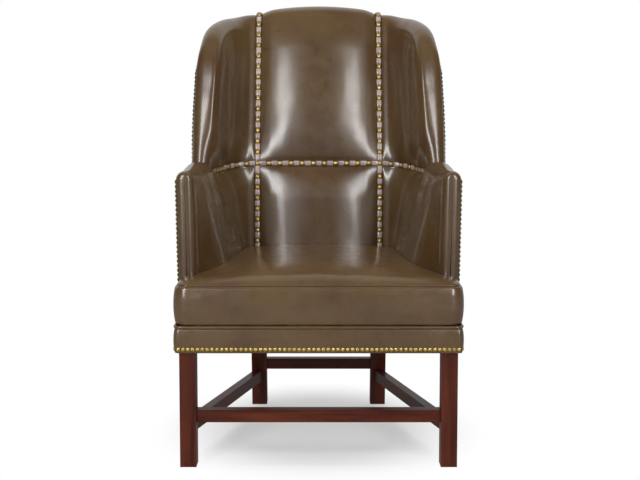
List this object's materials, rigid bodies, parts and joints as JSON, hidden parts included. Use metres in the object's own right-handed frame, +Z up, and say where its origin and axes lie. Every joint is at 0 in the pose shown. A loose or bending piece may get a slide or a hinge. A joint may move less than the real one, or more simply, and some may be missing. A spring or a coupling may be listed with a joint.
{
  "type": "wingback armchair",
  "caption": "Barrel-backed wing armchair with a tight seat, strapped and nailed leather panels, square legs and stretchers.",
  "frame": {"origin": "on the floor under the middle of the bounding box", "axes": "+Z up, the chair faces -Y, +X to the right of someone looking at its front"},
  "size_m": [0.688, 0.68, 1.14],
  "materials": {
    "wood": "dark mahogany, satin lacquer",
    "frame_wood": "raw hardwood",
    "glide": "matt",
    "spring_wire": "oiled",
    "cloth": "woven",
    "padding": "foam and cotton",
    "leather": "polished, hand-rubbed",
    "nail_brass": "antique gold"
  },
  "bodies": {
    "root": {"leg_front_left": "wood", "leg_front_right": "wood", "leg_rear_left": "wood", "leg_rear_right": "wood", "stretcher_front": "wood", "stretcher_rear": "wood", "stretcher_left": "wood", "stretcher_right": "wood", "rail_front": "frame_wood", "rail_left": "frame_wood", "rail_right": "frame_wood", "rail_rear": "frame_wood", "corner_blocks": "frame_wood", "back_post_left": "frame_wood", "back_post_right": "frame_wood", "rail_tacking": "frame_wood", "rail_lumbar": "frame_wood", "rail_crest": "frame_wood", "rail_arm_left": "frame_wood", "rail_arm_right": "frame_wood", "arm_post_left": "frame_wood", "arm_post_right": "frame_wood", "wing_board_left": "frame_wood", "wing_board_right": "frame_wood", "glides": "glide", "seat_springs": "spring_wire", "seat_deck": "cloth", "dust_cover": "cloth", "foam_seat": "padding", "foam_back_upper": "padding", "foam_back_lower": "padding", "foam_wing_left": "padding", "foam_wing_right": "padding", "foam_arm_left": "padding", "foam_arm_right": "padding", "panel_seat_top": "leather", "panel_boxing": "leather", "panel_lower_band": "leather", "seat_welt": "leather", "panel_back_upper": "leather", "panel_back_lower": "leather", "panel_wing_left": "leather", "panel_wing_right": "leather", "panel_arm_left": "leather", "panel_arm_right": "leather", "outside_back": "leather", "outside_wing_left": "leather", "outside_wing_right": "leather", "outside_arm_left": "leather", "outside_arm_right": "leather", "strap_left": "leather", "strap_right": "leather", "strap_cross": "leather", "strap_nails": "nail_brass", "band_nails": "nail_brass", "edge_nails_left": "nail_brass", "edge_nails_right": "nail_brass"}
  },
  "joints": []
}
